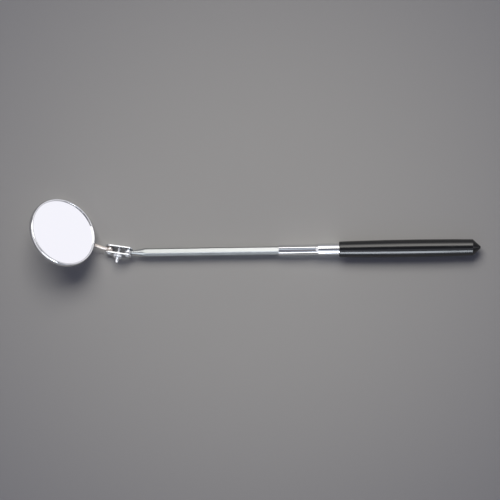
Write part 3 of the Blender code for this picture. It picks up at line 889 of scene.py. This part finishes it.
def make_bezel(finish):
    """A shallow pressed cup whose rim is rolled into a bead over the edge of the glass."""
    bead = BEZEL_RADIUS - BEZEL_BEAD_WIDTH
    under = BEZEL_DEPTH - BEZEL_BEAD_HEIGHT
    inner = BEZEL_RADIUS - BEZEL_SHEET
    shoulder = BEZEL_RADIUS - BEZEL_ROLL_WIDTH
    roll_end = (BEZEL_RADIUS, BEZEL_DEPTH - BEZEL_ROLL_DROP)
    # Radius, height and fillet
    inside = [
        (0.0, BEZEL_SHEET, 0.0),
        (inner, BEZEL_SHEET, 0.35 * MM),
        (inner, under, 0.15 * MM),
        (bead, under, 0.06 * MM),
        (bead, BEZEL_DEPTH, BEZEL_LIP_ROUND),
        (shoulder, BEZEL_DEPTH, 0.0),
    ]
    roll = []
    for turn in spread(0.0, QUARTER_TURN, 16)[1:-1]:
        drop = BEZEL_ROLL_DROP * (1.0 - math.cos(turn))
        roll.append((shoulder + BEZEL_ROLL_WIDTH * math.sin(turn), BEZEL_DEPTH - drop))
    back = [(*roll_end, 0.0), (BEZEL_RADIUS, 0.0, BEZEL_BACK_ROUND), (0.0, 0.0, 0.0)]
    profile = rounded(inside, segments=10) + roll + rounded(back, segments=10)
    mesh = lathe("bezel", profile, HEAD_STEPS)
    piece("bezel", mesh, HEAD, finish, "mirror", "bezel_plate", "mirror_bezel")


def make_glass(finish):
    """A round glass with its sharp edges ground off."""
    front = BEZEL_DEPTH - BEZEL_BEAD_HEIGHT - GLASS_SEAT_GAP
    back = front - GLASS_THICKNESS
    edge = BEZEL_RADIUS - BEZEL_SHEET - GLASS_EDGE_GAP
    # Radius, height and fillet
    corners = [
        (0.0, front, 0.0),
        (edge, front, GLASS_ARRIS),
        (edge, back, GLASS_ARRIS),
        (0.0, back, 0.0),
    ]
    mesh = lathe("glass", rounded(corners), HEAD_STEPS)
    piece("glass", mesh, HEAD, finish, "mirror", "silvered_glass", "mirror_glass")


# ---------------------------------------------------------------------------------------------
# Floor, light and camera
# ---------------------------------------------------------------------------------------------

def floor_finish():
    """Matt grey paper, darkened away from the tool by a painted falloff of light."""
    finish = Finish("studio_floor", FLOOR_COLOUR, 0.8, metallic=0.0, Specular_IOR_Level=0.2)
    reach = finish.node("ShaderNodeVectorMath", operation="LENGTH")
    finish.join(finish.position, reach.inputs[0])
    # Painted shade: the floor goes darker with distance from the tool, as light falling off would make it
    away = finish.node("ShaderNodeMapRange", interpolation_type="SMOOTHSTEP")
    finish.join(reach.outputs["Value"], away.inputs["Value"])
    away.inputs["From Min"].default_value = PAINTED_FALLOFF_START
    away.inputs["From Max"].default_value = PAINTED_FALLOFF_END
    finish.colour(finish.mix(away.outputs["Result"], FLOOR_COLOUR, FLOOR_PAINTED_FALLOFF_COLOUR))
    finish.bump(finish.noise(1200.0, detail=4.0), 0.01 * MM)
    return finish.material


def make_floor():
    """A plain level sheet that the tool lies on."""
    signs = ((-1.0, -1.0), (1.0, -1.0), (1.0, 1.0), (-1.0, 1.0))
    corners = [(FLOOR_HALF_WIDTH * x, FLOOR_HALF_WIDTH * y, 0.0) for x, y in signs]
    mesh = bpy.data.meshes.new("floor")
    mesh.from_pydata(corners, [], [(0, 1, 2, 3)])
    floor = bpy.data.objects.new("floor", mesh)
    bpy.context.scene.collection.objects.link(floor)
    mesh.materials.append(floor_finish())


def make_panel(name, heading, lean, wide, tall, radiance, colour, shows="glossy", distance=3.0):
    """A soft light aimed at the tool. heading is from +X towards +Y and lean from straight up.

    wide and tall are the angles that it fills, seen from the tool, in degrees like the others.
    radiance is its brightness. shows says whether it only lights matt surfaces, "diffuse", or is a
    card that only shows in reflections, "glossy".
    """
    heading, lean = math.radians(heading), math.radians(lean)
    level = Vector((math.cos(heading), math.sin(heading), 0.0))
    away = level * math.sin(lean) + Vector((0.0, 0.0, math.cos(lean)))
    light = bpy.data.lights.new(name, "AREA")
    light.shape = "RECTANGLE"
    light.size = 2.0 * distance * math.tan(math.radians(wide) / 2)
    light.size_y = 2.0 * distance * math.tan(math.radians(tall) / 2)
    light.energy = radiance * math.pi * light.size * light.size_y
    light.color = colour
    panel = bpy.data.objects.new(name, light)
    panel.location = away * distance
    panel.rotation_euler = away.to_track_quat("Z", "Y").to_euler()
    panel.visible_camera = False
    panel.visible_diffuse = shows == "diffuse"
    panel.visible_glossy = shows == "glossy"
    bpy.context.scene.collection.objects.link(panel)


def make_lights():
    """A dim bluish room, one soft key light, and cards for the metal and the glass to reflect."""
    world = bpy.data.worlds.new("studio")
    world.use_nodes = True
    background = world.node_tree.nodes["Background"]
    background.inputs["Color"].default_value = (*ROOM_COLOUR, 1.0)
    background.inputs["Strength"].default_value = ROOM_STRENGTH
    bpy.context.scene.world = world
    ahead = math.degrees(math.atan2(facing.y, facing.x))
    # Name, heading, lean, width and height in degrees, radiance, colour
    make_panel("key", 105.0, 39.0, 48.0, 27.0, 4.05, WARM, shows="diffuse", distance=12.0)
    make_panel("key_card", 96.0, 41.0, 60.0, 29.0, 3.4, WARM)
    make_panel("key_high", 90.0, 20.0, 24.0, 14.0, 0.25, WARM)
    make_panel("key_low", 90.0, 63.0, 24.0, 14.0, 1.4, WARM)
    make_panel("north_card", 90.0, 80.0, 80.0, 20.0, 0.35, WHITE)
    make_panel("zenith_card", 90.0, 0.0, 24.0, 22.0, 0.08, WHITE)
    make_panel("fill_high", -90.0, 25.0, 24.0, 26.0, 0.7, COOL)
    make_panel("strip", -90.0, 55.0, 14.0, 26.0, 9.0, COOL)
    make_panel("strip_side", -116.0, 55.0, 34.0, 26.0, 2.4, COOL)
    make_panel("south_card", -90.0, 79.0, 64.0, 22.0, 0.7, COOL)
    make_panel("left_card", 190.0, 67.0, 106.0, 46.0, 0.9, WHITE)
    make_panel("left_high", 205.0, 30.0, 84.0, 26.0, 0.55, WHITE)
    make_panel("right_card", 15.0, 66.0, 110.0, 46.0, 0.7, WHITE)
    make_panel("right_high", 20.0, 30.0, 84.0, 24.0, 0.5, WHITE)
    make_panel("mirror_card", ahead, 73.0, 19.0, 18.0, 0.21, WHITE)


def make_camera():
    """Straight down from 8 m through a long lens, so that the view is close to flat."""
    camera = bpy.data.cameras.new("camera")
    camera.lens = CAMERA_LENS
    viewer = bpy.data.objects.new("camera", camera)
    x, y = rod_ball_place.x + CAMERA_ASIDE[0], rod_ball_place.y + CAMERA_ASIDE[1]
    viewer.location = (x, y, CAMERA_HEIGHT)
    viewer.rotation_euler = (0.0, 0.0, CAMERA_ROLL)
    bpy.context.scene.collection.objects.link(viewer)
    bpy.context.scene.camera = viewer


# ---------------------------------------------------------------------------------------------

ball_plate = ball_finish("ball_plate", TOOL, (0.68, 0.69, 0.70), (0.60, 0.61, 0.62))
ball_zinc = ball_finish("ball_zinc", STEM, (0.74, 0.67, 0.60), (0.66, 0.60, 0.56))
pressed = pressed_steel_finish()
threaded = thread_finish()
plain_hole = [
    (HOLE_RADIUS + HOLE_CHAMFER, PLATE_OUTSIDE),
    (HOLE_RADIUS, PLATE_OUTSIDE - HOLE_CHAMFER),
    (HOLE_RADIUS, PLATE_INSIDE + HOLE_CHAMFER),
    (HOLE_RADIUS + HOLE_CHAMFER, PLATE_INSIDE),
]
sunk_hole = [
    (SINK_RADIUS, PLATE_OUTSIDE),
    (HOLE_RADIUS + HOLE_CHAMFER, PLATE_INSIDE + SINK_LAND),
    (HOLE_RADIUS + HOLE_CHAMFER, PLATE_INSIDE),
]

make_grip(vinyl_finish())
make_tube(chrome_finish())
make_rod(nickel_finish())
make_ball("rod_end_ball", TOOL, ball_plate, "rod_ball_joint", "nickel", "rod_ball")
make_plate("plate_nut_side", CLAMP, pressed, "clamp_plate_nut_side", plain_hole)
make_plate("plate_head_side", CLAMP_FLIPPED, pressed, "clamp_plate_head_side", sunk_hole)
make_screw(threaded)
make_nut(threaded)
make_ball("mirror_end_ball", STEM, ball_zinc, "mirror_ball_joint", "stem_zinc", "mirror_ball")
make_stem(stem_finish())
make_bezel(bezel_finish())
make_glass(glass_finish())

# The hidden pieces keep their CAD shape
hidden = {
    "tube_end_plug": small_metal_finish("zinc_plate", (0.68, 0.68, 0.67), 0.3),
    "rod_end_screw": small_metal_finish("zinc_screw", (0.68, 0.68, 0.67), 0.3),
    "rod_stop_collar": small_metal_finish("brass", (0.72, 0.55, 0.28), 0.3),
    "friction_ring": small_metal_finish("spring_steel", (0.45, 0.46, 0.48), 0.35),
    "backing_pad": board_finish(),
}
for node, finish in hidden.items():
    materials = frame["nodes"][node].data.materials
    materials.clear()
    materials.append(finish)

make_floor()
make_lights()
make_camera()
bpy.context.scene.view_settings.view_transform = "Standard"
